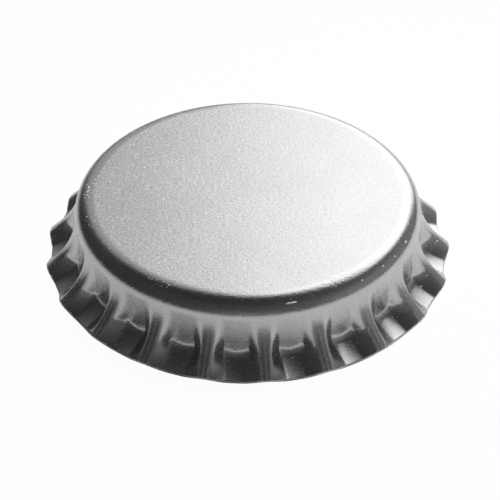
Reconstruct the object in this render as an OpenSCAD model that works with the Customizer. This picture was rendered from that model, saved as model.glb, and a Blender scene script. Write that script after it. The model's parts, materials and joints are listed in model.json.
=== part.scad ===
// Pry-off bottle cap: a fluted cap pressed from one disc of tinplate, with its moulded sealing liner.
// The origin is the centre of the circle that the rim rests on, and +Z points up out of the panel.

/* [Cap] */
// Height from the resting rim to the top of the panel
cap_height = 5.9; // [5.6:0.05:6.6]
// Diameter over the tips of the ridges
tip_d = 32.1; // [31.6:0.1:32.6]
// Inside diameter of the wall, which passes over the lip of the bottle
mouth_d = 26.65; // [26.3:0.05:26.9]
// Thickness of the tinplate
sheet_t = 0.235; // [0.2:0.005:0.26]

/* [Shoulder] */
// Outside radius of the rounded shoulder between the panel and the wall
shoulder_r = 1.55; // [1.3:0.05:1.9]
// Lean of a ridge where it leaves the shoulder, from the vertical in degrees
ridge_start_lean = 10; // [8:1:14]

/* [Flutes] */
// Number of ridges round the skirt, with a valley between each two
flute_count = 21; // [19:1:23]
// Slope of a ridge's straight lower end, in degrees more than the line from its start to its tip
ridge_slope = 11.85; // [10:0.05:14]
// Width of a ridge at its tip
ridge_tip_w = 0.6; // [0.5:0.05:0.8]
// Height of the tips above the surface that the rim rests on
tip_rise = 0.62; // [0.5:0.02:0.7]
// Width of the upright floor of a valley, where a tooth of the die pressed the wall
valley_w = 1.95; // [1.7:0.05:2.1]

/* [Rim] */
// Slope of the flared foot of a valley, from the vertical in degrees
foot_slope = 62; // [58:1:65]
// Radius of the hollow across the foot of a valley
foot_hollow_r = 3; // [2.6:0.1:3.6]
// Slope of the cut edge of the rim, from the horizontal in degrees
edge_slope = 38; // [34:1:42]

/* [Liner] */
// Thickness of the liner's film under the panel
film_t = 0.18; // [0.12:0.01:0.3]
// Inside diameter of the liner's sealing bead
bead_inner_d = 21.6; // [19:0.2:22.4]
// Depth of the sealing bead under the panel
bead_depth = 1; // [0.8:0.05:1.2]
// Radius of the rounded inner edge of the bead
bead_edge_r = 0.4; // [0.3:0.05:0.5]
// Gap between the bead and the curve of the shoulder
bead_gap = 0.05; // [0.03:0.01:0.1]

/* [Hidden] */
$fn = 252;
tip_r = tip_d / 2;
wall_r = mouth_d / 2 + sheet_t;
panel_r = wall_r - shoulder_r;
shoulder_z = cap_height - shoulder_r;
half_pitch = 180 / flute_count;
// How far the forms run past the finished part before they are trimmed to it.
spare = 0.6;
skirt_reach = tip_r + spare;

// The side view of a ridge is an arc that leaves the shoulder's curve smoothly and ends in a straight slope.
ridge_top_x = panel_r + shoulder_r * cos(ridge_start_lean);
ridge_top_z = shoulder_z + shoulder_r * sin(ridge_start_lean);
// lean of the straight slope from the vertical
tip_lean = atan((tip_r - ridge_top_x) / (ridge_top_z - tip_rise)) + ridge_slope;
arc_out = cos(ridge_start_lean) - cos(tip_lean);
arc_down = sin(tip_lean) - sin(ridge_start_lean);
straight_drop = ridge_top_z - tip_rise - (tip_r - ridge_top_x) / tan(tip_lean);
ridge_r = straight_drop / (arc_down - arc_out / tan(tip_lean));
ridge_x = panel_r + (shoulder_r + ridge_r) * cos(ridge_start_lean);
ridge_z = shoulder_z + (shoulder_r + ridge_r) * sin(ridge_start_lean);

// The rim's cut edge is a cone through the tips, and the valleys' feet rest where it meets the ground.
rest_r = tip_r - tip_rise / tan(edge_slope);
bend_z = (rest_r - wall_r) / tan(foot_slope) + sheet_t / sin(foot_slope);

// A valley's side runs straight from the edge of its floor to the edge of the next ridge's tip.
tip_edge = half_pitch - asin(ridge_tip_w / 2 / tip_r);
side_run = tip_r * cos(tip_edge) - wall_r;
side_rise = tip_r * sin(tip_edge) - valley_w / 2;
side_slope = atan(side_rise / side_run);

// Section of the ridges' bell: shoulder, ridge curve and slope, all set inwards by the given depth.
module bell_section(inset) {
    far_z = ridge_z + cap_height;
    difference() {
        polygon([
            [0, -spare], slope_end(inset), arc_end(tip_lean, inset),
            [arc_end(tip_lean, inset)[0], cap_height - inset], [0, cap_height - inset]
        ]);
        // the outward curve of a ridge
        translate([ridge_x, ridge_z]) circle(r = ridge_r + inset);
        // what lies outside the shoulder, above the line from its centre to the ridge curve's centre
        difference() {
            polygon([[panel_r, shoulder_z], [ridge_x, ridge_z], [ridge_x, far_z], [panel_r, far_z]]);
            translate([panel_r, shoulder_z]) circle(r = shoulder_r - inset);
        }
    }
}

function arc_end(angle, inset) = [
    ridge_x - (ridge_r + inset) * cos(angle),
    ridge_z - (ridge_r + inset) * sin(angle)
];

function slope_end(inset) = let (start = arc_end(tip_lean, inset)) [
    start[0] + (start[1] + spare) * tan(tip_lean),
    -spare
];

// Section of the plain cap without flutes: panel, shoulder and straight wall.
module plain_section(inset) {
    difference() {
        square([wall_r - inset, cap_height - inset]);
        translate([panel_r, shoulder_z]) difference() {
            square(shoulder_r);
            circle(r = shoulder_r - inset);
        }
    }
}

// One tooth of the die, which leaves a valley: upright sides, and a hollow foot that slopes outwards.
module die_tooth(inset) {
    inner_x = wall_r - spare;
    outer_x = skirt_reach + spare;
    inner_y = valley_w / 2 + (inner_x - wall_r) * tan(side_slope) + inset / cos(side_slope);
    outer_y = valley_w / 2 + (outer_x - wall_r) * tan(side_slope) + inset / cos(side_slope);
    foot = 2 * skirt_reach;
    difference() {
        translate([0, 0, -2 * spare])
            linear_extrude(height = ridge_top_z + 2 * spare)
                polygon([
                    [inner_x, -inner_y], [outer_x, -outer_y],
                    [outer_x, outer_y], [inner_x, inner_y]
                ]);
        translate([wall_r, 0, bend_z]) rotate([0, 90 - foot_slope, 0]) difference() {
            translate([-foot / 2, -foot / 2, -foot]) cube([foot, foot, foot + foot_hollow_r]);
            translate([-foot, 0, foot_hollow_r]) rotate([0, 90, 0])
                cylinder(h = 2 * foot, r = foot_hollow_r + inset);
        }
    }
}

// The pressed form, filled solid, with its skin set inwards by the given depth.
module pressed_form(inset) {
    difference() {
        rotate_extrude() bell_section(inset);
        difference() {
            for (k = [0 : flute_count - 1])
                rotate([0, 0, (2 * k + 1) * half_pitch]) die_tooth(inset);
            rotate_extrude() plain_section(inset);
        }
    }
}

// The tinplate cap: the space between the form's skin and the same skin set in by the sheet's thickness.
module cap_shell() {
    color("silver") intersection() {
        difference() {
            pressed_form(0);
            pressed_form(sheet_t);
        }
        rotate_extrude() polygon([
            [0, 0], [rest_r, 0],
            [skirt_reach, (skirt_reach - rest_r) * tan(edge_slope)],
            [skirt_reach, cap_height], [0, cap_height]
        ]);
    }
}

// The moulded liner: a film under the panel, with a thick sealing bead that fills the shoulder's corner.
module sealing_liner() {
    film_z = cap_height - sheet_t - film_t;
    bead_z = cap_height - sheet_t - bead_depth;
    bead_r = shoulder_r - sheet_t - bead_gap;
    color("gainsboro") rotate_extrude() {
        translate([0, film_z]) square([panel_r, film_t]);
        intersection() {
            translate([panel_r, shoulder_z]) circle(r = bead_r);
            translate([panel_r, bead_z]) square([shoulder_r, bead_depth]);
        }
        difference() {
            translate([bead_inner_d / 2, bead_z]) square([panel_r - bead_inner_d / 2, bead_depth]);
            translate([bead_inner_d / 2, bead_z]) square(bead_edge_r);
        }
        translate([bead_inner_d / 2 + bead_edge_r, bead_z + bead_edge_r]) circle(r = bead_edge_r);
    }
}

cap_shell();
sealing_liner();
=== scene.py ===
"""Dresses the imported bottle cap: its pressed tinplate skin, its moulded liner, and a pale studio round them.

All lengths are in metres and all angles in radians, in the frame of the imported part: the axis of the cap
is Z, the floor is at z = 0, and one ridge of the skirt points along +X.
"""

import json
import math
from functools import partial
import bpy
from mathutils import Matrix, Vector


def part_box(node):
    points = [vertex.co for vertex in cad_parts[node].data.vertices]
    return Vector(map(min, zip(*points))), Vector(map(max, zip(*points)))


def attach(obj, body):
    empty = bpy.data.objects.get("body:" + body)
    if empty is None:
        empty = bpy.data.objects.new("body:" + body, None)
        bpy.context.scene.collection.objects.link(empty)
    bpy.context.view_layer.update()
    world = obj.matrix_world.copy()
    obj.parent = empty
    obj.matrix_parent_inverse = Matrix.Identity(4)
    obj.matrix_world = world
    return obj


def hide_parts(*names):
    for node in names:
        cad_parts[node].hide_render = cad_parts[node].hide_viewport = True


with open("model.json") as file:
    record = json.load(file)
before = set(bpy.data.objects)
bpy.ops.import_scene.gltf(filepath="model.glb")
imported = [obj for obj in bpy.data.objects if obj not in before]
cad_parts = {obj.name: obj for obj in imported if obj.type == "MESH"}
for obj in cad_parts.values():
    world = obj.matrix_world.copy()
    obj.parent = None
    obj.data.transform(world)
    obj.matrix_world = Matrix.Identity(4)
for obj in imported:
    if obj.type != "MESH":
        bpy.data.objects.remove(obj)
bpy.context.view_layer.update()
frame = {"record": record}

from types import SimpleNamespace

import bpy
import numpy as np
from mathutils import Matrix, Vector

bl_info = {
    "name": "Bottle Cap Dresser",
    "version": (1, 0, 0),
    "blender": (4, 5, 0),
    "location": "3D View > Sidebar > Bottle Cap",
    "description": "Presses a fluted tinplate bottle cap, moulds its liner and lights both",
    "category": "Mesh",
}

MM = 0.001

# grid of the shell: columns in half a flute, rows down the skirt and round the shoulder, rows in each rolled
# corner of the rim, rows that these corners take the place of, and the panel's rings as shares of its radius
HALF_COLUMNS = 13
SKIRT_ROWS = 52
SHOULDER_ROWS = 15
EDGE_STEPS = 6
TRIMMED_ROWS = 2
PANEL_RINGS = (0.02, 0.35, 0.7, 0.92, 0.99)

# how exactly its skin is found: halvings of a ray, columns of the trial grid, how much bending counts against
# length when columns are shared out, and the step over which a slope is taken
HALVINGS = 34
TRIAL_COLUMNS = 240
BEND_SHARE = 0.12
SMALL_STEP = 0.0001 * MM

# grid of the liner: columns round it, points in each arc, and the innermost ring of its film as a share
LINER_COLUMNS = 240
ARC_STEPS = 6
FILM_INNER = 0.03

# where the liner's curve under the shoulder starts, in degrees, and how far its top's bend and its lower
# corner reach, in gaps between bead and shoulder
LINER_CURVE_START = 76
LINER_TOP_BEND = 4
LINER_CORNER = 2

# patterns in cells per metre, first those that are stretched along the rolling direction
STREAK_CELLS = (800.0, 7000.0)
FINE_CELLS = (3200.0, 5200.0)
DOT_CELLS = (4200.0, 5200.0)
CLOUD_CELLS = 190.0
WEAR_CELLS = 1300.0
WAVE_CELLS = 260.0
DIMPLE_CELLS = 4200.0
FLOOR_CELLS = 40.0

# tinplate: a pair is where a mask starts and where it is full, as a value of its pattern or as a share of the
# shoulder's radius, the edge's rounding or the sheet, and the rest says how much a mask changes the finish
TIN = SimpleNamespace(
    drawn=(0.9, 1.7), speck_dots=(0.68, 0.8), speck_clouds=(0.35, 0.6),
    brow=0.35, brow_band=(0.1 * MM, 0.5 * MM), chip_dots=(0.62, 0.74), chip_clouds=(0.5, 0.65),
    # the rim corner's range and shine give it a painted highlight, the cut edge's ranges and darkness give it
    # painted shade, and the marks' shine is a painted glint
    burr=(0.3, 0.9), cut_start=(0.4, 1.0), cut_end=(1.0, 1.3), mark_core=0.3,
    grain_loss=0.6, cloud_shade=0.16, cut_darkness=0.85, mark_shine=0.7, burr_shine=0.4,
    height_loss=0.75, cloud_height=0.1, mark_height=2.0,
    metal_loss=0.85, grain_roughness=0.15, worn_roughness=0.2)

# wear on the ridges, partly real wear and partly painted highlight along their crests and folds, strongest
# on the front: width of a rubbed line, shares of it at which it is full and has faded, how far above the bend
# it fades out, where the front begins as a share of the wall's radius, and strengths
RIDGE_LINES = SimpleNamespace(
    width=0.22 * MM, core=0.1, middle_edge=0.5, fold_edge=0.7, top=(1.3 * MM, 2.4 * MM),
    patches=(0.1, 0.6), front=(0.45, 0.85), middle=0.8, behind=0.15)

# compound: wobble of its flow rings, heights and depth of its relief, shades and roughness of its patterns
COMPOUND = SimpleNamespace(
    wobble=3.0, ring_height=0.3, relief=0.01 * MM, bump=0.5, wave_shade=0.12, ring_shade=0.01, shade=0.94,
    dimple_roughness=0.15, dimple_offset=0.07, subsurface=0.2, subsurface_depth=0.6 * MM)

# studio: a pair is where a part of a direction starts to count and where it counts fully
ROOM = SimpleNamespace(
    halves=(-0.05, 0.05), left_fade=0.3, right_fade=0.14, overhead=(0.14, 0.55), overhead_turn=0.25,
    front=(0.3, 0.9), front_core=0.1, beside=(0.5, 0.95), beside_top=(0.3, 0.7),
    fill_turn=0.5, fill_top=(0.5, 1.0), fill_loss=0.5)
FLOOR_SHADE = 0.89
FLOOR_GRAIN = 0.01
FRAME_WIDTH = 36.0
CLIP_START = 10 * MM

# small rubbed marks, real dents whose lighter colour is a painted glint: bearing in degrees, then path from
# the middle and half sizes outwards and round, in mm
RUB_AND_GLINT_MARKS = (
    (-131.8, 18.29, 0.10, 0.10),
    (-114.3, 18.50, 0.11, 0.09),
    (-96.75, 18.07, 0.13, 0.08),
    (-96.55, 18.60, 0.10, 0.09),
    (-77.2, 18.06, 0.07, 0.22),
    (-57.9, 18.08, 0.12, 0.09),
    (-40.1, 18.10, 0.10, 0.10),
    (-40.4, 18.53, 0.13, 0.10),
    (-22.5, 18.30, 0.09, 0.20),
    (-23.6, 18.73, 0.10, 0.12),
    (-19.6, 17.48, 0.08, 0.11),
    (-2.1, 17.73, 0.07, 0.20),
    (-76.7, 13.23, 0.07, 0.58),
    (-25.0, 13.34, 0.10, 0.16),
    (-33.7, 13.37, 0.09, 0.10),
    (-40.4, 13.30, 0.07, 0.12),
    (-50.6, 13.30, 0.06, 0.14),
)
MOUTH = next(m for m in frame["record"]["mounts"] if m["name"] == "bottle_mouth")
SHELL_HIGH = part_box("cap_shell")[1]
LINER_LOW, LINER_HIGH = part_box("sealing_liner")


# ---------------------------------------------------------------- sizes, finishes and studio

def number_prop(name, description, default, **limits):
    """A property that holds one number."""
    return bpy.props.FloatProperty(name=name, description=description, default=default, **limits)


# kinds of number: a length, a length either way, an angle, a share of the whole, and any amount from 0 up
length_prop = partial(number_prop, min=0.0, unit="LENGTH")
shift_prop = partial(number_prop, unit="LENGTH")
angle_prop = partial(number_prop, subtype="ANGLE")
share_prop = partial(number_prop, min=0.0, max=1.0, subtype="FACTOR")
level_prop = partial(number_prop, min=0.0)


class CapSizes(bpy.types.PropertyGroup):
    """Sizes of the pressed cap."""

    height: length_prop("Height", "From the resting rim to the top of the panel", SHELL_HIGH.z)
    tip_radius: length_prop("Tip Radius", "From the axis to the tip of a ridge", SHELL_HIGH.x)
    mouth_radius: length_prop("Mouth Radius", "Inside radius of the wall", MOUTH["dims"]["r_mm"] * MM)
    sheet: length_prop("Sheet", "Thickness of the tinplate", SHELL_HIGH.z - LINER_HIGH.z)
    shoulder_radius: length_prop(
        "Shoulder Radius", "Outside radius of the bend between panel and wall", 1.55 * MM)
    flute_count: bpy.props.IntProperty(
        name="Flutes", description="Number of ridges round the skirt", default=21, min=3)
    ridge_start_lean: angle_prop(
        "Ridge Start Lean", "Lean of a ridge from the vertical where it leaves the shoulder", math.radians(8))
    ridge_slope: angle_prop("Ridge Slope", "Lean of a ridge from the vertical at its tip", math.radians(45))
    ridge_width: length_prop(
        "Ridge Width", "Width of a ridge between the middles of its two crests, at its tip", 0.72 * MM)
    ridge_top_width: length_prop(
        "Ridge Top Width", "Width of a ridge between its crests where it leaves the shoulder", 0.95 * MM)
    tip_rise: length_prop("Tip Rise", "Height of the tips above the floor", 0.59 * MM)
    valley_width: length_prop("Valley Width", "Width of the upright floor of a valley", 1.83 * MM)
    foot_slope: angle_prop(
        "Foot Slope", "Lean of the flared foot of a valley from the vertical", math.radians(65))
    foot_hollow: length_prop(
        "Foot Hollow", "Radius of the hollow across the foot of a valley, at its bend", 1.9 * MM)
    foot_spread: level_prop("Foot Spread", "How much the hollow's radius grows per length down the foot", 2.2)
    foot_flare: angle_prop(
        "Foot Flare", "How much the foot's slope grows from its bend to the rim", math.radians(8))
    rim_valley_width: length_prop("Rim Valley Width", "Width of the floor of a valley at the rim", 1.45 * MM)
    rest_radius: length_prop(
        "Rest Radius", "From the axis to the edge that a valley's foot rests on", 15.53 * MM)
    crest_round: angle_prop(
        "Crest Rounding", "Half the angle round the axis over which a flank rounds into a ridge",
        math.radians(0.6))
    fold_round: angle_prop(
        "Fold Rounding", "Half the angle round the axis over which a flank rounds into a valley",
        math.radians(0.3))
    foot_round: length_prop(
        "Foot Rounding", "Radius of the bend between a valley's floor and its foot", 0.38 * MM)
    edge_round: length_prop("Edge Rounding", "Radius of the rolled-over corners of the cut edge", 0.11 * MM)


class LinerSizes(bpy.types.PropertyGroup):
    """Sizes of the moulded liner."""

    film: length_prop("Film", "Thickness of the film under the panel", 0.18 * MM)
    bead_inner_radius: length_prop(
        "Bead Inner Radius", "From the axis to the inside of the sealing bead", 10.8 * MM)
    bead_depth: length_prop(
        "Bead Depth", "From the panel's underside to the bead's lowest ring", LINER_HIGH.z - LINER_LOW.z)
    bead_edge: length_prop("Bead Edge", "Radius of the bead's rounded inner edge", 0.4 * MM)
    bead_gap: length_prop("Bead Gap", "Gap between the bead and the curve of the shoulder", 0.05 * MM)
    groove: length_prop("Groove", "Depth of the shallow groove round the bead's sealing face", 0.09 * MM)
    draft: length_prop("Draft", "How far the bead's inner wall leans inwards over its height", 0.05 * MM)


class TinFinish(bpy.types.PropertyGroup):
    """Look of the tinplate."""

    colour: bpy.props.FloatVectorProperty(
        name="Colour", description="Colour of clean tin",
        default=(0.56, 0.56, 0.56), size=3, min=0.0, max=1.0, subtype="COLOR")
    sheet_roughness: share_prop("Sheet Roughness", "Roughness of the flat sheet as it was rolled", 0.23)
    skirt_roughness: share_prop("Skirt Roughness", "Roughness of the skirt, which the die burnished", 0.27)
    grain: share_prop("Grain", "How much the rolling grain changes the shade", 0.55)
    grain_height: length_prop("Grain Height", "Depth of the rolling grain", 0.02 * MM)
    specks: share_prop("Specks", "How bright the small rubbed specks are", 0.4)
    # the ridges' rubbed lines are partly painted highlight
    wear: share_prop("Wear", "How far the ridges are rubbed along their folds", 0.6)


class LinerFinish(bpy.types.PropertyGroup):
    """Look of the liner."""

    colour: bpy.props.FloatVectorProperty(
        name="Colour", description="Colour of the moulded compound",
        default=(0.8, 0.81, 0.79), size=3, min=0.0, max=1.0, subtype="COLOR")
    roughness: share_prop("Roughness", "Roughness of the moulded face", 0.42)
    ring_pitch: length_prop("Ring Pitch", "From one flow ring of the moulding to the next", 1.2 * MM)


class StudioSettings(bpy.types.PropertyGroup):
    """Camera, floor and light."""

    aim_height: length_prop("Aim Height", "Height of the point that the camera looks at", 0.58 * MM)
    camera_elevation: angle_prop(
        "Camera Elevation", "Angle of the camera above the floor", math.radians(38.45))
    camera_turn: angle_prop(
        "Camera Turn", "Angle of the camera round the axis from straight in front", math.radians(-0.874))
    camera_roll: angle_prop(
        "Camera Roll", "Turn of the camera about its own line of sight", math.radians(0.11))
    camera_distance: length_prop(
        "Camera Distance", "From the camera to the point that it looks at", 162.7 * MM)
    camera_right: shift_prop(
        "Camera Right", "How far the camera stands to the right of its line to the cap", 0.17 * MM)
    camera_up: shift_prop("Camera Up", "How far the camera stands above its line to the cap", -0.24 * MM)
    lens: bpy.props.FloatProperty(
        name="Lens", description="Focal length on a 36 mm wide frame, in millimetres",
        default=147.2, unit="CAMERA")
    floor_size: length_prop("Floor Size", "Side of the square floor", 6.0)
    floor_white: share_prop("Floor White", "Share of plain white that the camera sees on the floor", 0.97)
    floor_near: length_prop(
        "Floor Near", "Distance from its middle up to which the lit floor keeps its full brightness", 26 * MM)
    floor_reach: length_prop(
        "Floor Reach", "Distance from its middle at which the lit floor has faded into the dark room",
        85 * MM)
    floor_aside: shift_prop(
        "Floor Aside", "How far to the right of the axis the middle of the lit floor lies", 16 * MM)
    floor_ahead: shift_prop(
        "Floor Ahead", "How far in front of the cap the middle of the lit floor lies", 6 * MM)
    floor_gloss: share_prop("Floor Gloss", "Share of plain white that reflections see on the floor", 0.03)
    key_strength: level_prop(
        "Key Strength", "Brightness of the bright right half of the back wall, where 1 is white", 1.8)
    side_strength: level_prop(
        "Side Strength", "Brightness of its dim left half, where the two halves meet", 0.39)
    key_foot: share_prop("Key Foot", "Share of the wall's brightness that is left at the floor", 0.38)
    key_rise: share_prop(
        "Key Rise", "Height, as the Z of a direction, at which the wall is fully bright", 0.03)
    wall_left: share_prop("Wall Left", "How far left the dim half reaches, as the X of a direction", 0.33)
    wall_right: share_prop(
        "Wall Right", "How far right the bright half reaches, as the X of a direction", 0.54)
    front_glow: level_prop(
        "Front Glow", "Brightness of the low light in front of the cap, at the floor", 0.15)
    front_height: share_prop(
        "Front Height", "Height, as the Z of a direction, at which the front light has faded out", 0.4)
    front_width: share_prop(
        "Front Width", "How far the front light reaches to both sides, as the X of a direction", 0.55)
    side_glow: level_prop("Side Glow", "Brightness of the low soft light to the right of the cap", 0.13)
    room_fill: level_prop("Room Fill", "Brightness of the rest of the room", 0.087)
    lamp_power: bpy.props.FloatProperty(
        name="Lamp Power", description="Power of the upper lamp, which lights the floor",
        default=0.47, min=0.0, unit="POWER")
    under_power: bpy.props.FloatProperty(
        name="Under Power", description="Power of the lamp under the floor, which lights the cap's inside",
        default=0.5, min=0.0, unit="POWER")
    lamp_distance: length_prop("Lamp Distance", "From each lamp to the middle of the cap", 250 * MM)
    lamp_size: length_prop("Lamp Size", "Side of each square lamp", 90 * MM)
    lamp_climb: angle_prop(
        "Lamp Climb", "Angle of the upper lamp above the floor and of the other below it", math.radians(50))
    lamp_turn: angle_prop("Lamp Turn", "Direction of both lamps round the axis, from +X", math.radians(64))


# ---------------------------------------------------------------- the pressed form

def cap_form(sizes):
    """Works out the fixed points and radii of the pressed form from the driving sizes."""
    lean, slope = sizes.ridge_start_lean, sizes.ridge_slope
    f = SimpleNamespace(**{name: getattr(sizes, name) for name in sizes.__annotations__})
    f.wall_r = f.mouth_radius + f.sheet
    f.panel_r = f.wall_r - f.shoulder_radius
    f.shoulder_z = f.height - f.shoulder_radius
    f.half_pitch = math.pi / f.flute_count
    top_x = f.panel_r + f.shoulder_radius * math.cos(lean)
    top_z = f.shoulder_z + f.shoulder_radius * math.sin(lean)
    out, down = math.cos(lean) - math.cos(slope), math.sin(slope) - math.sin(lean)
    drop = top_z - f.tip_rise - (f.tip_radius - top_x) / math.tan(slope)
    f.ridge_r = drop / (down - out / math.tan(slope))
    f.ridge_x = f.panel_r + (f.shoulder_radius + f.ridge_r) * math.cos(lean)
    f.ridge_z = f.shoulder_z + (f.shoulder_radius + f.ridge_r) * math.sin(lean)
    f.bend_z = (f.rest_radius - f.wall_r) / math.tan(f.foot_slope) + f.sheet / math.sin(f.foot_slope)
    f.ridge_half = math.asin(f.ridge_width / 2 / f.tip_radius)
    f.ridge_top_half = math.asin(f.ridge_top_width / 2 / f.wall_r)
    f.valley_half = math.asin(f.valley_width / 2 / f.wall_r)
    f.rim_valley_half = math.asin(f.rim_valley_width / 2 / f.rest_radius)
    f.rim_r = f.rest_radius + f.sheet * math.cos(f.foot_slope)
    f.rim_z = f.sheet * math.sin(f.foot_slope)
    f.foot_length = math.hypot(f.rim_r - f.wall_r, f.bend_z - f.rim_z)
    f.rim_slope = math.atan2(f.tip_rise - f.rim_z, f.tip_radius - f.rim_r)
    return f


def filled_bend(a, b, radius):
    """Distance to what lies inside either of two forms, with a round fillet where their skins meet."""
    reach = np.hypot(np.maximum(radius - a, 0), np.maximum(radius - b, 0))
    return np.maximum(radius, np.minimum(a, b)) - reach


def rounded_ramp(t, width):
    """0 below 0, t above 0, with a parabola of the given half width between the two."""
    return np.where(t < width, np.maximum(t + width, 0) ** 2 / (4 * width), t)


def bell_distance(f, r, z):
    """Distance to the bell that the ridges lie on.

    In words: it is the panel's plane, then the shoulder's arc, then an outward arc, then a straight slope.
    """
    lean, slope = f.ridge_start_lean, f.ridge_slope
    from_shoulder_x, from_shoulder_z = r - f.panel_r, z - f.shoulder_z
    panel = z - f.height
    shoulder = np.hypot(from_shoulder_x, from_shoulder_z) - f.shoulder_radius
    from_ridge_x, from_ridge_z = r - f.ridge_x, z - f.ridge_z
    arc = f.ridge_r - np.hypot(from_ridge_x, from_ridge_z)
    straight = f.ridge_r + from_ridge_x * math.cos(slope) + from_ridge_z * math.sin(slope)
    above_join = from_shoulder_z * math.cos(lean) > from_shoulder_x * math.sin(lean)
    below_arc = from_ridge_z * math.cos(slope) < from_ridge_x * math.sin(slope)
    skirt = np.where(below_arc, straight, arc)
    return np.where(above_join, np.where(from_shoulder_x < 0, panel, shoulder), skirt)


def plain_distance(f, r, z):
    """Distance to the plain cap without flutes: panel plane, shoulder arc and upright wall."""
    x, up = r - f.panel_r, z - f.shoulder_z
    top = np.where(x < 0, z - f.height, np.hypot(x, up) - f.shoulder_radius)
    return np.where(up > 0, top, r - f.wall_r)


def skin_distance(f, r, angle, z):
    """Signed measure of how far points lie outside the pressed skin, negative inside the cap.

    In words: a mean of the distances to the bell and to a valley's profile, weighted by the share of the
    flute that has been reached. The share is 0 on a valley's floor, 1 on a ridge's face, and rises evenly
    across the flank between them, with both of its corners rounded. A valley's profile is the plain cap
    filled with the hollow foot, and below the bend its floor narrows towards the rim. A ridge's face narrows
    from the shoulder to its tip.
    """
    pitch = 2 * f.half_pitch
    turn = angle - (np.floor(angle / pitch) + 0.5) * pitch
    fall = np.clip((z - f.rim_z) / (f.bend_z - f.rim_z), 0, 1)
    floor = f.rim_valley_half + (f.valley_half - f.rim_valley_half) * fall
    side = np.abs(turn)
    climb = np.clip((z - f.tip_rise) / (f.shoulder_z - f.tip_rise), 0, 1)
    face = f.half_pitch - f.ridge_half - (f.ridge_top_half - f.ridge_half) * climb
    share = rounded_ramp(side - floor, f.fold_round) - rounded_ramp(side - face, f.crest_round)
    share = share / (face - floor)
    along, across = r * np.cos(turn), r * np.sin(turn)
    rise = (along - f.wall_r) * math.cos(f.foot_slope) + (z - f.bend_z) * math.sin(f.foot_slope)
    down = (along - f.wall_r) * math.sin(f.foot_slope) - (z - f.bend_z) * math.cos(f.foot_slope)
    hollow = f.foot_hollow + f.foot_spread * np.maximum(down, 0)
    sag = f.foot_flare * down * (f.foot_length - down) / (2 * f.foot_length)
    foot = rise + sag - np.minimum(np.abs(across), f.valley_width / 2) ** 2 / (2 * hollow)
    valley = filled_bend(plain_distance(f, r, z), foot, f.foot_round)
    return valley + share * (bell_distance(f, r, z) - valley)


def skin_points(f, angle, start_z, tilt):
    """Points where rays from the axis side meet the skin.

    A ray starts at the panel's radius and the given height, and runs outwards and up at the given tilt. The
    skin's place along it is found by halving an interval that begins inside the cap and ends outside it.
    """
    near = np.zeros(np.broadcast(angle, start_z, tilt).shape)
    far = np.full(near.shape, 2 * (f.tip_radius - f.panel_r))
    for _ in range(HALVINGS):
        middle = (near + far) / 2
        r, z = f.panel_r + middle * np.cos(tilt), start_z + middle * np.sin(tilt)
        inside = skin_distance(f, r, angle, z) < 0
        near, far = np.where(inside, middle, near), np.where(inside, far, middle)
    r, z = f.panel_r + near * np.cos(tilt), start_z + near * np.sin(tilt)
    return np.stack([r * np.cos(angle), r * np.sin(angle), z + 0 * r], axis=-1)


def skin_normals(f, points):
    """Outward directions at points on the skin, from how its measure changes over a very small step."""
    x, y, z = points[..., 0], points[..., 1], points[..., 2]
    r, angle = np.hypot(x, y), np.arctan2(y, x)
    out = skin_distance(f, r + SMALL_STEP, angle, z) - skin_distance(f, r - SMALL_STEP, angle, z)
    turn = SMALL_STEP / r
    side = skin_distance(f, r, angle + turn, z) - skin_distance(f, r, angle - turn, z)
    up = skin_distance(f, r, angle, z + SMALL_STEP) - skin_distance(f, r, angle, z - SMALL_STEP)
    cos, sin = np.cos(angle), np.sin(angle)
    normal = np.stack([out * cos - side * sin, out * sin + side * cos, up], axis=-1)
    return normal / np.linalg.norm(normal, axis=-1, keepdims=True)


def even_steps(points, bend_weight, count):
    """Places along polylines that share out their length and their turning evenly.

    Each polyline runs along the second axis of the array. The weight of a stretch is its length plus a share
    of the change of its direction, and the places come back as fractions of the polyline's own numbering.
    """
    step = np.diff(points, axis=1)
    length = np.linalg.norm(step, axis=2)
    direction = step / length[..., None]
    turn = np.linalg.norm(np.diff(direction, axis=1), axis=2)
    turn = np.pad(turn, ((0, 0), (1, 1)))
    weight = length + bend_weight * (turn[:, 1:] + turn[:, :-1]) / 2
    total = np.pad(np.cumsum(weight, axis=1), ((0, 0), (1, 0)))
    total = total / total[:, -1:]
    own = np.linspace(0, 1, points.shape[1])
    wanted = np.linspace(0, 1, count)
    return np.stack([np.interp(wanted, row, own) for row in total])


def skirt_grid(f, half_columns, rows):
    """Angles, ray starts and ray tilts of the skirt's grid, closest together where the sheet bends most.

    One half of a flute is pressed on a dense trial grid, and its columns are shared out anew in every row.
    The half is then mirrored and repeated round the skirt.
    """
    fraction = np.linspace(0, 1, rows)[:, None]
    rim_start = f.rim_z - (f.rim_r - f.panel_r) * math.tan(f.rim_slope)
    start_z = f.shoulder_z + (rim_start - f.shoulder_z) * fraction
    tilt = f.ridge_start_lean + (f.rim_slope - f.ridge_start_lean) * fraction
    trial = np.linspace(0, f.half_pitch, TRIAL_COLUMNS)[None, :]
    points = skin_points(f, trial, start_z, tilt)
    share = even_steps(points, f.half_pitch * f.wall_r * BEND_SHARE, half_columns + 1)
    half = share * f.half_pitch
    flute = np.concatenate([-half[:, :0:-1], half[:, :-1]], axis=1)
    ridges = np.arange(f.flute_count) * 2 * f.half_pitch
    angle = (ridges[None, :, None] + flute[:, None, :]).reshape(rows, -1)
    return angle, start_z, tilt


def shoulder_points(f, angle, lift, inset):
    """Points on the shoulder's arc: the panel's edge circle, moved out and up by the radius at each lift."""
    radius = f.shoulder_radius - inset
    r = f.panel_r + radius * np.cos(lift)
    z = f.shoulder_z + radius * np.sin(lift)
    return np.stack([r * np.cos(angle), r * np.sin(angle), z + 0 * angle], axis=-1)


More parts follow.
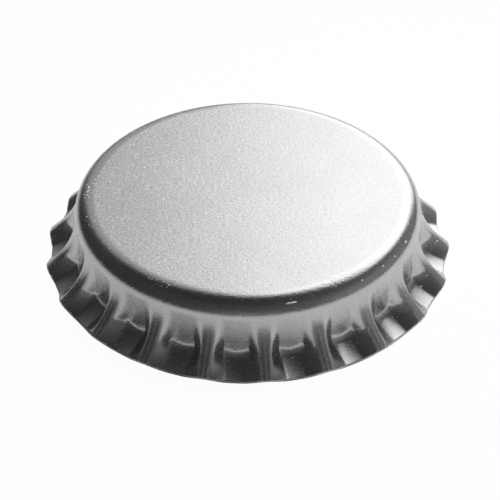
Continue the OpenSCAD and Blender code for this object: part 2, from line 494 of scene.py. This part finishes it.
def rolled_corner(before, corner, after, radius, steps):
    """Rows that round a corner: a quadratic curve from one side of it to the other that heads for it."""
    back, on = before - corner, after - corner
    start = corner + radius * back / np.linalg.norm(back, axis=-1, keepdims=True)
    end = corner + radius * on / np.linalg.norm(on, axis=-1, keepdims=True)
    w = np.linspace(0, 1, steps)[:, None, None]
    return (1 - w) ** 2 * start + 2 * w * (1 - w) * corner + w ** 2 * end


def shell_rows(f):
    """All rows of the shell's skin, from the middle of the panel's top, over the rim, to its underside."""
    angle, start_z, tilt = skirt_grid(f, HALF_COLUMNS, SKIRT_ROWS)
    lean = f.ridge_start_lean
    lift = np.linspace(math.pi / 2, lean, SHOULDER_ROWS)[:-1, None]
    outer = skin_points(f, angle, start_z, tilt)
    inner = outer - f.sheet * skin_normals(f, outer)
    top_angle = angle[:1]
    ring = np.array(PANEL_RINGS)[:, None] * f.panel_r
    x, y = ring * np.cos(top_angle), ring * np.sin(top_angle)
    flat = np.stack([x, y, f.height + 0 * x], axis=-1)
    under = flat - np.array([0.0, 0.0, f.sheet])
    last = -TRIMMED_ROWS - 1
    upper_edge = rolled_corner(outer[last], outer[-1], inner[-1], f.edge_round, EDGE_STEPS)
    lower_edge = rolled_corner(outer[-1], inner[-1], inner[last], f.edge_round / 2, EDGE_STEPS)
    return np.concatenate([
        flat,
        shoulder_points(f, top_angle, lift, 0.0),
        outer[:-TRIMMED_ROWS],
        upper_edge,
        lower_edge,
        inner[last::-1],
        shoulder_points(f, top_angle, lift[::-1], f.sheet),
        under[::-1],
    ])


def corner_row():
    """Number of the row that runs along the middle of the rim's outer corner."""
    return len(PANEL_RINGS) + SHOULDER_ROWS - 1 + SKIRT_ROWS - TRIMMED_ROWS + EDGE_STEPS // 2


# ---------------------------------------------------------------- the moulded liner

def arc(centre_x, centre_z, radius, start, end, steps=ARC_STEPS):
    """Points on an arc between two angles in degrees, as rows of x and z."""
    angle = np.radians(np.linspace(start, end, steps))
    return np.stack([centre_x + radius * np.cos(angle), centre_z + radius * np.sin(angle)], axis=-1)


def bend(start, guide, end, steps=ARC_STEPS):
    """Points on a quadratic curve from start to end that heads for the guide from both."""
    w = np.linspace(0, 1, steps)[:, None]
    return (1 - w) ** 2 * np.array(start) + 2 * w * (1 - w) * np.array(guide) + w ** 2 * np.array(end)


def liner_profile(f, liner):
    """Half section of the liner, from the middle of its top, out round the bead and back under the film."""
    top = f.height - f.sheet
    low = top - liner.bead_depth
    under = top - liner.film
    radius = f.shoulder_radius - f.sheet - liner.bead_gap
    inner, edge = liner.bead_inner_radius, liner.bead_edge
    last = math.degrees(math.asin((low - f.shoulder_z + liner.bead_gap) / radius))
    curve = arc(f.panel_r, f.shoulder_z, radius, LINER_CURVE_START, last, 3 * ARC_STEPS)
    corner = (f.panel_r + math.sqrt(radius ** 2 - (low - f.shoulder_z) ** 2), low)
    face = np.linspace(corner[0] - LINER_CORNER * liner.bead_gap, inner + edge, 2 * ARC_STEPS)
    across = (face - face[-1]) / (face[0] - face[-1])
    face = np.stack([face, low + liner.groove * np.sin(math.pi * across) ** 2], axis=-1)
    wall_top = (inner - liner.draft, under)
    film = np.linspace(1, FILM_INNER, ARC_STEPS)
    top_bend = f.panel_r - LINER_TOP_BEND * liner.bead_gap
    return np.concatenate([
        np.stack([film[::-1] * (top_bend - liner.bead_gap), top + 0 * film], axis=-1),
        bend((top_bend, top), (f.panel_r, top), curve[0])[:-1],
        curve[:-1],
        bend(curve[-1], corner, face[0])[:-1],
        face[:-1],
        arc(inner + edge, low + edge, edge, -90, -180),
        bend((inner - liner.draft / 2, under - edge / 2), wall_top, (inner - edge / 2, under)),
        np.stack([film[1:] * (inner - edge / 2), under + 0 * film[1:]], axis=-1),
    ])


def revolved(profile, columns):
    """Rows of points that carry each point of a half section once round the axis."""
    angle = np.linspace(0, 2 * math.pi, columns, endpoint=False)
    r, z = profile[:, :1], profile[:, 1:]
    return np.stack([r * np.cos(angle), r * np.sin(angle), z + 0 * angle], axis=-1)


# ---------------------------------------------------------------- meshes

def grid_mesh(name, rows):
    """Mesh of rows of points that each run once round the axis, with a pole that closes either end.

    rows is an array of rows by columns by 3. Normals point outwards when the rows run from the top's middle
    outwards and come back to the middle underneath.
    """
    count, columns = rows.shape[:2]
    poles = np.array([[0, 0, rows[0, 0, 2]], [0, 0, rows[-1, 0, 2]]])
    index = np.arange(count * columns).reshape(count, columns)
    beside = np.roll(index, -1, axis=1)
    quads = np.stack([index[:-1], index[1:], beside[1:], beside[:-1]], axis=-1).reshape(-1, 4)
    top = np.stack([np.full(columns, index.size), index[0], beside[0]], axis=-1)
    bottom = np.stack([np.full(columns, index.size + 1), beside[-1], index[-1]], axis=-1)
    mesh = bpy.data.meshes.new(name)
    mesh.from_pydata(np.concatenate([rows.reshape(-1, 3), poles]), [],
                     quads.tolist() + top.tolist() + bottom.tolist())
    mesh.polygons.foreach_set("use_smooth", np.ones(len(mesh.polygons), dtype=bool))
    mesh.update()
    return mesh


def blank_coordinates(rows):
    """Where each point lay on the flat disc: its length of path from the middle, at its own angle."""
    steps = np.linalg.norm(np.diff(rows, axis=0), axis=2)
    middle = np.hypot(rows[..., 0], rows[..., 1])
    outwards = np.concatenate([middle[:1], middle[:1] + np.cumsum(steps, axis=0)])
    back = np.concatenate([middle[-1:], middle[-1:] + np.cumsum(steps[::-1], axis=0)])[::-1]
    path = np.minimum(outwards, back)
    angle = np.arctan2(rows[..., 1], rows[..., 0])
    flat = np.stack([path * np.cos(angle), path * np.sin(angle)], axis=-1).reshape(-1, 2)
    return np.concatenate([flat, np.zeros((2, 2))])


def rim_coordinates(rows, corner):
    """How far each point's path runs past the rim's outer corner, negative on the outside, and a 0."""
    steps = np.linalg.norm(np.diff(rows, axis=0), axis=2)
    path = np.concatenate([0 * steps[:1], np.cumsum(steps, axis=0)])
    past = (path - path[corner]).reshape(-1)
    past = np.concatenate([past, past[:1], past[-1:]])
    return np.stack([past, 0 * past], axis=-1)


def lay_uv(mesh, name, flat):
    """Writes one flat coordinate per vertex, in metres, to a UV map."""
    corners = np.empty(len(mesh.loops), dtype=np.int32)
    mesh.loops.foreach_get("vertex_index", corners)
    layer = mesh.uv_layers.new(name=name)
    layer.data.foreach_set("uv", flat[corners].astype(np.float32).ravel())


def place(mesh, material):
    """Puts a mesh into the scene with its material, as an object at the origin."""
    piece = bpy.data.objects.new(mesh.name, mesh)
    bpy.context.scene.collection.objects.link(piece)
    mesh.materials.append(material)
    return piece


# ---------------------------------------------------------------- shader maths

class Wire:
    """A shader socket that takes part in sums as if it were a number."""

    def __init__(self, tree, socket):
        self.tree, self.socket = tree, socket

    def maths(self, operation, *values):
        """A Math node with the given operation on numbers or wires."""
        return add_node(self.tree, "ShaderNodeMath", dict(enumerate(values)), operation=operation)

    def __add__(self, other):
        return self.maths("ADD", self, other)

    def __sub__(self, other):
        return self.maths("SUBTRACT", self, other)

    def __rsub__(self, other):
        return self.maths("SUBTRACT", other, self)

    def __mul__(self, other):
        return self.maths("MULTIPLY", self, other)

    def __truediv__(self, other):
        return self.maths("DIVIDE", self, other)

    def __abs__(self):
        return self.maths("ABSOLUTE", self)

    __radd__, __rmul__ = __add__, __mul__

    def smooth(self, low, high):
        """0 below low, 1 above high and an S curve between them."""
        return add_node(self.tree, "ShaderNodeMapRange", {0: self, 1: low, 2: high},
                        interpolation_type="SMOOTHSTEP")

    def parts(self):
        """The X, Y and Z of a vector."""
        split = add_node(self.tree, "ShaderNodeSeparateXYZ", {0: self}).socket.node
        return [Wire(self.tree, output) for output in split.outputs]

    def length(self):
        """Length of a vector."""
        return add_node(self.tree, "ShaderNodeVectorMath", {0: self}, "Value", operation="LENGTH")


def add_node(tree, kind, inputs=(), output=0, **settings):
    """Adds a node to a tree, sets it up, fills its sockets and returns one output as a Wire."""
    node = tree.nodes.new(kind)
    for name, value in settings.items():
        setattr(node, name, value)
    for name, value in dict(inputs).items():
        if isinstance(value, Wire):
            tree.links.new(value.socket, node.inputs[name])
        else:
            node.inputs[name].default_value = value
    return None if output is None else Wire(tree, node.outputs[output])


def new_material(name):
    """An empty node material and its tree."""
    material = bpy.data.materials.new(name)
    material.use_nodes = True
    material.node_tree.nodes.clear()
    return material, material.node_tree


def finish_material(tree, shader):
    """Leads a shader to the material's output."""
    add_node(tree, "ShaderNodeOutputMaterial", {"Surface": shader}, output=None)


def stretched(tree, vector, x, y):
    """A vector with its parts multiplied, so that a pattern on it is stretched."""
    return add_node(tree, "ShaderNodeMapping", {"Vector": vector, "Scale": (x, y, 1.0)}, vector_type="POINT")


def noise(tree, vector, scale=1.0, detail=2.0, roughness=0.5):
    """Smooth random values from 0 to 1 on a vector."""
    return add_node(tree, "ShaderNodeTexNoise", {
        "Vector": vector, "Scale": scale, "Detail": detail, "Roughness": roughness})


def shaded(tree, colour, level):
    """A fixed colour made lighter or darker by a level, where 1 leaves it as it is."""
    grey = add_node(tree, "ShaderNodeCombineXYZ", {0: level, 1: level, 2: level})
    return add_node(tree, "ShaderNodeVectorMath", {0: grey, 1: tuple(colour)}, operation="MULTIPLY")


# ---------------------------------------------------------------- materials

def tinplate_material(form, finish):
    """Satin tinplate, with its patterns laid on the flat disc that the cap was pressed from.

    The flat sheet keeps the straight grain of the rolling mill, along X, with fine specks and a slow change
    of shade. From the shoulder outwards the die has burnished it smoother and the grain is fainter. A ring of
    tiny chips runs round the top of the shoulder. The ridges are rubbed along their middle and both of their
    folds, partly real wear and partly painted highlight, strongest on the front. Small marks have real dents,
    and their lighter colour is a painted glint. A painted highlight runs along the rim's outer corner, and
    painted shade darkens its cut edge.
    """
    material, tree = new_material("tinplate")
    blank = add_node(tree, "ShaderNodeUVMap", uv_map="blank")
    here = add_node(tree, "ShaderNodeTexCoord", output="Object")
    drawn = blank.length().smooth(*[form.panel_r + form.shoulder_radius * share for share in TIN.drawn])
    streak = noise(tree, stretched(tree, blank, *STREAK_CELLS), detail=3.0, roughness=0.6)
    fine = noise(tree, stretched(tree, blank, *FINE_CELLS), detail=2.0, roughness=0.7)
    cloud = noise(tree, blank, CLOUD_CELLS, detail=4.0, roughness=0.6)
    dots = noise(tree, stretched(tree, blank, *DOT_CELLS), detail=0.0)
    grain = (streak + fine) * 0.5 - 0.5
    speck = dots.smooth(*TIN.speck_dots) * cloud.smooth(*TIN.speck_clouds)
    off_brow = abs(blank.length() - (form.panel_r + form.shoulder_radius * TIN.brow))
    chips = dots.smooth(*TIN.chip_dots) * (1 - off_brow.smooth(*TIN.brow_band))
    marks = rub_and_glint_marks(tree, blank) + chips * cloud.smooth(*TIN.chip_clouds)
    # the rim's outer corner gets a painted highlight and its cut edge gets painted shade
    burr, cut = rim_masks(tree, form)
    patches = noise(tree, here, WEAR_CELLS, detail=3.0, roughness=0.6).smooth(*RIDGE_LINES.patches)
    # the rubbed lines are partly wear and partly painted highlight
    rubbed = ridge_wear_and_highlights(form, here) * patches * finish.wear
    shade = grain * (1 - drawn * TIN.grain_loss) * finish.grain + (cloud - 0.5) * TIN.cloud_shade + 1
    # lighter colour from the real specks, the painted glints on the marks and the painted highlight on the
    # rim's corner
    specks_and_highlights = speck * finish.specks + marks * TIN.mark_shine + burr * TIN.burr_shine
    height = grain * (1 - drawn * TIN.height_loss) + cloud * TIN.cloud_height + marks * TIN.mark_height
    normal = add_node(tree, "ShaderNodeBump", {
        "Height": height, "Distance": finish.grain_height, "Strength": 1.0})
    burnished = drawn * (finish.skirt_roughness - finish.sheet_roughness) + finish.sheet_roughness
    worn = (speck + rubbed + burr + cut) * TIN.worn_roughness
    shader = add_node(tree, "ShaderNodeBsdfPrincipled", {
        # the cut edge's colour is darkened as painted shade
        "Base Color": shaded(tree, finish.colour, shade * (1 - cut * TIN.cut_darkness) + specks_and_highlights),
        # less metal on the rubbed lines and marks lets the lamp light them, partly as painted highlight and
        # glints
        "Metallic": 1 - (rubbed + marks) * TIN.metal_loss,
        "Roughness": burnished + grain * TIN.grain_roughness + worn,
        "Normal": normal,
    })
    finish_material(tree, shader)
    return material


def rim_masks(tree, form):
    """Masks of the rim's rolled-over outer corner, which carries a painted highlight, and of the cut edge of
    the sheet beyond it, which carries painted shade.
    """
    past_rim = add_node(tree, "ShaderNodeUVMap", uv_map="rim").parts()[0]
    burr = 1 - abs(past_rim).smooth(*[form.edge_round * share for share in TIN.burr])
    begun = past_rim.smooth(*[form.edge_round * share for share in TIN.cut_start])
    ended = past_rim.smooth(*[form.sheet * share for share in TIN.cut_end])
    return burr, begun * (1 - ended)


def ridge_wear_and_highlights(form, here):
    """Thin lines down each ridge's middle and both of its folds, partly real wear and partly painted
    highlight.

    They are strongest on the ridges on the cap's front, towards -Y, which is painted highlight, not wear.
    """
    x, y, z = here.parts()
    turn = y.maths("ARCTAN2", y, x) / (2 * form.half_pitch)
    beside = abs(turn - turn.maths("ROUND", turn)) * (2 * form.half_pitch)
    climb = (z - form.tip_rise) / (form.shoulder_z - form.tip_rise)
    crest = climb * (form.ridge_top_half - form.ridge_half) + form.ridge_half
    line = RIDGE_LINES.width / form.tip_radius
    middle = 1 - beside.smooth(line * RIDGE_LINES.core, line * RIDGE_LINES.middle_edge)
    fold = 1 - abs(beside - crest).smooth(line * RIDGE_LINES.core, line * RIDGE_LINES.fold_edge)
    low = 1 - z.smooth(*[form.bend_z + above for above in RIDGE_LINES.top])
    # the front ridges get stronger lines as painted highlight
    front = (y * -1).smooth(*[form.wall_r * share for share in RIDGE_LINES.front])
    return (middle * RIDGE_LINES.middle + fold) * low * (front * (1 - RIDGE_LINES.behind) + RIDGE_LINES.behind)


def rub_and_glint_marks(tree, blank):
    """Small rubbed marks that carry painted glints: each is 1 inside an ellipse on the flat disc and falls to
    0 at its edge.
    """
    total = 0
    for bearing, path, out, around in RUB_AND_GLINT_MARKS:
        turn = math.radians(bearing)
        spot = add_node(tree, "ShaderNodeMapping", {
            "Vector": blank,
            "Location": (path * MM * math.cos(turn), path * MM * math.sin(turn), 0.0),
            "Rotation": (0.0, 0.0, turn),
            "Scale": (out * MM, around * MM, 1.0)}, vector_type="TEXTURE")
        total = (1 - spot.length().smooth(TIN.mark_core, 1.0)) + total
    return total


def liner_material(finish):
    """Milky moulded compound: soft flow rings from the punch, fine dimples, and a faint change of shade."""
    material, tree = new_material("liner_compound")
    here = add_node(tree, "ShaderNodeTexCoord", output="Object")
    x, y, _ = here.parts()
    radius = add_node(tree, "ShaderNodeCombineXYZ", {0: x, 1: y}).length()
    waves = noise(tree, here, WAVE_CELLS, detail=3.0)
    phase = radius * (2 * math.pi / finish.ring_pitch) + waves * COMPOUND.wobble
    rings = radius.maths("SINE", phase)
    dimples = noise(tree, here, DIMPLE_CELLS)
    height = rings * COMPOUND.ring_height + dimples
    normal = add_node(tree, "ShaderNodeBump", {
        "Height": height, "Distance": COMPOUND.relief, "Strength": COMPOUND.bump})
    level = waves * COMPOUND.wave_shade + rings * COMPOUND.ring_shade + COMPOUND.shade
    roughness = dimples * COMPOUND.dimple_roughness + (finish.roughness - COMPOUND.dimple_offset)
    shader = add_node(tree, "ShaderNodeBsdfPrincipled", {
        "Base Color": shaded(tree, finish.colour, level),
        "Roughness": roughness,
        "Subsurface Weight": COMPOUND.subsurface,
        "Subsurface Radius": [COMPOUND.subsurface_depth] * 3,
        "Normal": normal,
    })
    finish_material(tree, shader)
    return material


# ---------------------------------------------------------------- studio

def aim_camera(context, s):
    """Camera on a sphere round the point that it looks at, with a small sideways step."""
    e = s.camera_elevation
    back = Vector((0, -math.cos(e), math.sin(e)))
    up = Vector((0, math.sin(e), math.cos(e)))
    roll = Matrix.Rotation(s.camera_roll, 3, back)
    right, up = roll @ Vector((1, 0, 0)), roll @ up
    spot = back * s.camera_distance + right * s.camera_right + up * s.camera_up
    turn = Matrix.Rotation(s.camera_turn, 4, "Z")
    axes = Matrix((right, up, back)).transposed().to_4x4()
    data = bpy.data.cameras.new("camera")
    data.lens, data.sensor_width, data.clip_start = s.lens, FRAME_WIDTH, CLIP_START
    camera = bpy.data.objects.new("camera", data)
    camera.matrix_world = Matrix.Translation((0, 0, s.aim_height)) @ turn @ Matrix.Translation(spot) @ axes
    context.scene.collection.objects.link(camera)
    context.scene.camera = camera


def lay_floor(s):
    """Plain floor that shows white, keeps the cap's shadow, and can be looked through from below.

    The light on it falls off with the distance from a point beside the cap, which only reflections show. The
    lower lamp shines up through it.
    """
    mesh = bpy.data.meshes.new("floor")
    half = s.floor_size / 2
    corners = [(-half, -half, 0), (half, -half, 0), (half, half, 0), (-half, half, 0)]
    mesh.from_pydata(corners, [], [(0, 1, 2, 3)])
    material, tree = new_material("floor")
    here = add_node(tree, "ShaderNodeTexCoord", output="Object")
    from_middle = (-s.floor_aside, s.floor_ahead, 0.0)
    away = add_node(tree, "ShaderNodeVectorMath", {0: here, 1: from_middle}, operation="ADD").length()
    shade = noise(tree, here, FLOOR_CELLS) * FLOOR_GRAIN + FLOOR_SHADE
    lit = shade * (1 - away.smooth(s.floor_near, s.floor_reach))
    paint = add_node(tree, "ShaderNodeBsdfDiffuse", {"Color": shaded(tree, (1, 1, 1), lit)})
    glow = add_node(tree, "ShaderNodeEmission", {"Strength": 1.0})
    white = seen_share(tree, s.floor_white, s.floor_gloss)
    shown = add_node(tree, "ShaderNodeMixShader", {0: white, 1: paint, 2: glow})
    below = add_node(tree, "ShaderNodeNewGeometry", output="Backfacing")
    shadow = add_node(tree, "ShaderNodeLightPath", output="Is Shadow Ray")
    clear = add_node(tree, "ShaderNodeBsdfTransparent")
    passed = below.maths("MAXIMUM", below, shadow)
    finish_material(tree, add_node(tree, "ShaderNodeMixShader", {0: passed, 1: shown, 2: clear}))
    place(mesh, material)


def seen_share(tree, camera_share, gloss_share):
    """How much of the white ground shows: one share to the camera, one to reflections and through glass."""
    camera, gloss, through = [
        add_node(tree, "ShaderNodeLightPath", output=name)
        for name in ("Is Camera Ray", "Is Glossy Ray", "Is Transmission Ray")]
    return camera * camera_share + (gloss + through) * gloss_share


def light_world(context, s):
    """Dark room with a tall soft wall of light behind the cap, and plain white where the camera looks past.

    x, y and z are the parts of a direction's unit vector. The wall's right half is bright and its left half
    dim. It fades out to both sides and overhead, where it reaches a little further on its right, and it is
    dimmer just above the floor. Two weak lights stand low, one in front and one to the right. The rest of the
    room is a little lighter to the right and darker overhead.
    """
    world = bpy.data.worlds.new("studio")
    world.use_nodes = True
    tree = world.node_tree
    tree.nodes.clear()
    x, y, z = add_node(tree, "ShaderNodeTexCoord", output="Generated").parts()
    bright = x.smooth(*ROOM.halves) * (s.key_strength - s.side_strength)
    dim = x.smooth(-s.wall_left - ROOM.left_fade, -s.wall_left) * s.side_strength
    ended = x.smooth(s.wall_right, s.wall_right + ROOM.right_fade)
    overhead = (x * ROOM.overhead_turn + y).smooth(*ROOM.overhead)
    rising = z.smooth(0.0, s.key_rise) * (1 - s.key_foot) + s.key_foot
    wall = (bright + dim) * (1 - ended) * overhead * rising
    low = 1 - z.smooth(0.0, s.front_height)
    middle = 1 - abs(x).smooth(ROOM.front_core, s.front_width)
    front = low * (y * -1).smooth(*ROOM.front) * middle * s.front_glow
    beside = x.smooth(*ROOM.beside) * (1 - z.smooth(*ROOM.beside_top)) * s.side_glow
    fill = (x * ROOM.fill_turn + 1) * (1 - z.smooth(*ROOM.fill_top) * ROOM.fill_loss) * s.room_fill
    camera = add_node(tree, "ShaderNodeLightPath", output="Is Camera Ray")
    strength = (wall + front + beside + fill) * (1 - camera) + camera
    back = add_node(tree, "ShaderNodeBackground", {"Color": (1.0, 1.0, 1.0, 1.0), "Strength": strength})
    add_node(tree, "ShaderNodeOutputWorld", {"Surface": back}, output=None)
    context.scene.world = world


def hang_lamp(context, s, name, power, climb):
    """Square lamp that shines on the cap from the given angle above the floor, and no reflection shows it."""
    data = bpy.data.lights.new(name, "AREA")
    data.energy, data.size = power, s.lamp_size
    lamp = bpy.data.objects.new(name, data)
    level = math.cos(climb)
    out = Vector((level * math.cos(s.lamp_turn), level * math.sin(s.lamp_turn), math.sin(climb)))
    lamp.location = out * s.lamp_distance
    lamp.rotation_euler = out.to_track_quat("Z", "Y").to_euler()
    lamp.visible_glossy = False
    context.scene.collection.objects.link(lamp)


# ---------------------------------------------------------------- operators, panel and registration

class BOTTLECAP_OT_press_shell(bpy.types.Operator):
    """Press the fluted tinplate shell"""

    bl_idname = "bottlecap.press_shell"
    bl_label = "Press Shell"

    def execute(self, context):
        form = cap_form(context.scene.cap_sizes)
        rows = shell_rows(form)
        mesh = grid_mesh("pressed_shell", rows)
        lay_uv(mesh, "blank", blank_coordinates(rows))
        lay_uv(mesh, "rim", rim_coordinates(rows, corner_row()))
        shell = place(mesh, tinplate_material(form, context.scene.cap_tin))
        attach(shell, "root")
        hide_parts("cap_shell")
        return {"FINISHED"}


class BOTTLECAP_OT_mould_liner(bpy.types.Operator):
    """Mould the sealing liner under the panel"""

    bl_idname = "bottlecap.mould_liner"
    bl_label = "Mould Liner"

    def execute(self, context):
        profile = liner_profile(cap_form(context.scene.cap_sizes), context.scene.cap_liner)
        mesh = grid_mesh("moulded_liner", revolved(profile, LINER_COLUMNS))
        liner = place(mesh, liner_material(context.scene.cap_compound))
        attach(liner, "root")
        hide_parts("sealing_liner")
        return {"FINISHED"}


class BOTTLECAP_OT_set_stage(bpy.types.Operator):
    """Lay the floor, set the lights and aim the camera"""

    bl_idname = "bottlecap.set_stage"
    bl_label = "Set Stage"

    def execute(self, context):
        studio = context.scene.cap_studio
        aim_camera(context, studio)
        lay_floor(studio)
        light_world(context, studio)
        hang_lamp(context, studio, "upper_lamp", studio.lamp_power, studio.lamp_climb)
        hang_lamp(context, studio, "lower_lamp", studio.under_power, -studio.lamp_climb)
        return {"FINISHED"}


class BOTTLECAP_PT_sidebar(bpy.types.Panel):
    """Lists the operators and the settings that each of them reads."""

    bl_idname = "BOTTLECAP_PT_sidebar"
    bl_label = "Bottle Cap"
    bl_space_type = "VIEW_3D"
    bl_region_type = "UI"
    bl_category = "Bottle Cap"

    def draw(self, context):
        for operator, groups in STEPS.items():
            box = self.layout.box()
            box.operator(operator)
            for group in groups:
                settings = getattr(context.scene, group)
                for name in settings.__annotations__:
                    box.prop(settings, name)


STEPS = {
    BOTTLECAP_OT_press_shell.bl_idname: ("cap_sizes", "cap_tin"),
    BOTTLECAP_OT_mould_liner.bl_idname: ("cap_liner", "cap_compound"),
    BOTTLECAP_OT_set_stage.bl_idname: ("cap_studio",),
}
GROUPS = {
    "cap_sizes": CapSizes,
    "cap_liner": LinerSizes,
    "cap_tin": TinFinish,
    "cap_compound": LinerFinish,
    "cap_studio": StudioSettings,
}
CLASSES = (*GROUPS.values(), BOTTLECAP_OT_press_shell, BOTTLECAP_OT_mould_liner, BOTTLECAP_OT_set_stage,
           BOTTLECAP_PT_sidebar)


def register():
    for cls in CLASSES:
        bpy.utils.register_class(cls)
    for name, group in GROUPS.items():
        setattr(bpy.types.Scene, name, bpy.props.PointerProperty(type=group))


def unregister():
    for name in GROUPS:
        delattr(bpy.types.Scene, name)
    for cls in reversed(CLASSES):
        bpy.utils.unregister_class(cls)


def main():
    """Builds the pieces and the studio in order."""
    register()
    bpy.context.scene.view_settings.view_transform = "Standard"
    bpy.ops.bottlecap.press_shell()
    bpy.ops.bottlecap.mould_liner()
    bpy.ops.bottlecap.set_stage()


if __name__ == "__main__":
    main()
